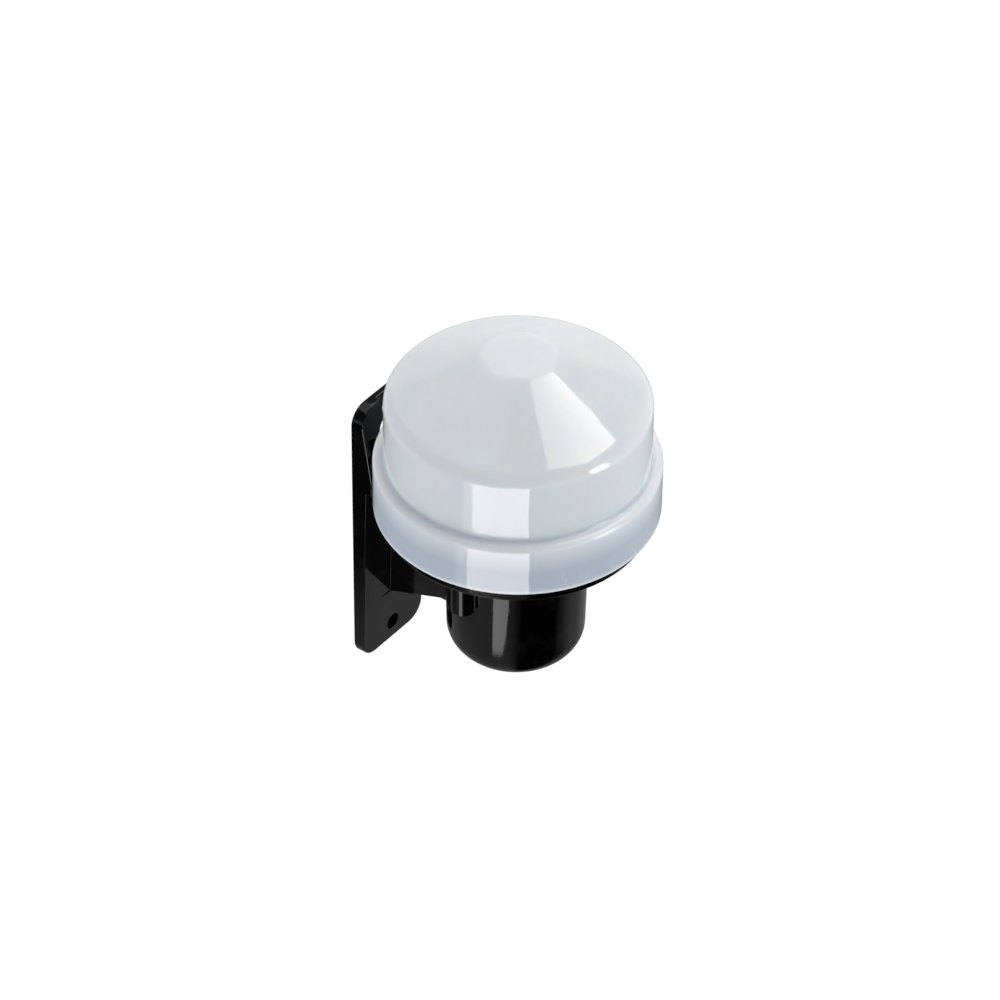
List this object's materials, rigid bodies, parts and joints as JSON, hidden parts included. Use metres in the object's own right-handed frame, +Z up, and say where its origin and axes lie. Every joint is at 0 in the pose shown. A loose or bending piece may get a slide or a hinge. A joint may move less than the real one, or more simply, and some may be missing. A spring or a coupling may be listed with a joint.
{
  "type": "photocell switch",
  "caption": "Wall-mounted photocell switch: an opal stepped dome with a conical top over a black drum, cup and web on a narrow rounded wall plate, with a relay board inside.",
  "frame": {"origin": "centre of the wall plate's back face", "axes": "+Z up, +Y into the wall, +X to the right seen from the front; the dome's axis is parallel to Z in front of the wall"},
  "size_m": [0.075, 0.0823, 0.1171],
  "materials": {
    "black_housing": "glossy black moulded plastic",
    "opal_dome": "glossy opal white moulded plastic",
    "seal_rubber": "matt black rubber",
    "board_laminate": "green solder mask on glass laminate",
    "screw_steel": "zinc-plated steel",
    "white_plastic": "satin white plastic",
    "sensor_ceramic": "lacquered ceramic disc",
    "relay_case": "satin blue plastic",
    "film_case": "glossy yellow plastic",
    "can_sleeve": "shrunk blue sleeve",
    "dark_sleeve": "shrunk black sleeve",
    "terminal_plastic": "satin green plastic",
    "clamp_brass": "bright brass",
    "trimmer_case": "satin blue plastic",
    "black_epoxy": "moulded black epoxy",
    "amber_glass": "amber glass",
    "resistor_lacquer": "tan lacquer",
    "cement_grey": "flameproof grey coating",
    "varistor_lacquer": "blue epoxy dip"
  },
  "bodies": {
    "base": {"base_housing": "black_housing", "dome_seal": "seal_rubber", "cable_grommet": "seal_rubber", "circuit_board": "board_laminate", "board_screws": "screw_steel", "sensor_post": "white_plastic", "light_sensor": "sensor_ceramic", "relay": "relay_case", "dropper_capacitor": "film_case", "smoothing_capacitor": "can_sleeve", "delay_capacitor": "dark_sleeve", "terminal_block": "terminal_plastic", "terminal_clamps": "clamp_brass", "terminal_screws": "screw_steel", "trimmer_body": "trimmer_case", "controller_chip": "black_epoxy", "rectifier_diodes": "black_epoxy", "zener_diode": "amber_glass", "resistors": "resistor_lacquer", "power_resistor": "cement_grey", "driver_transistor": "black_epoxy", "varistor": "varistor_lacquer", "fuse": "black_epoxy"},
    "dome": {"dome_cover": "opal_dome"},
    "dial": {"trimmer_dial": "white_plastic"}
  },
  "joints": [
    {"name": "dome_lift", "type": "slide", "parent": "base", "child": "dome", "axis": [0, 0, 1], "range_m": [0, 0.045]},
    {"name": "dial_turn", "type": "hinge", "parent": "base", "child": "dial", "pos_m": [0.015, -0.05785, 0.0343], "axis": [0, 0, 1], "range_deg": [-130, 130]}
  ]
}
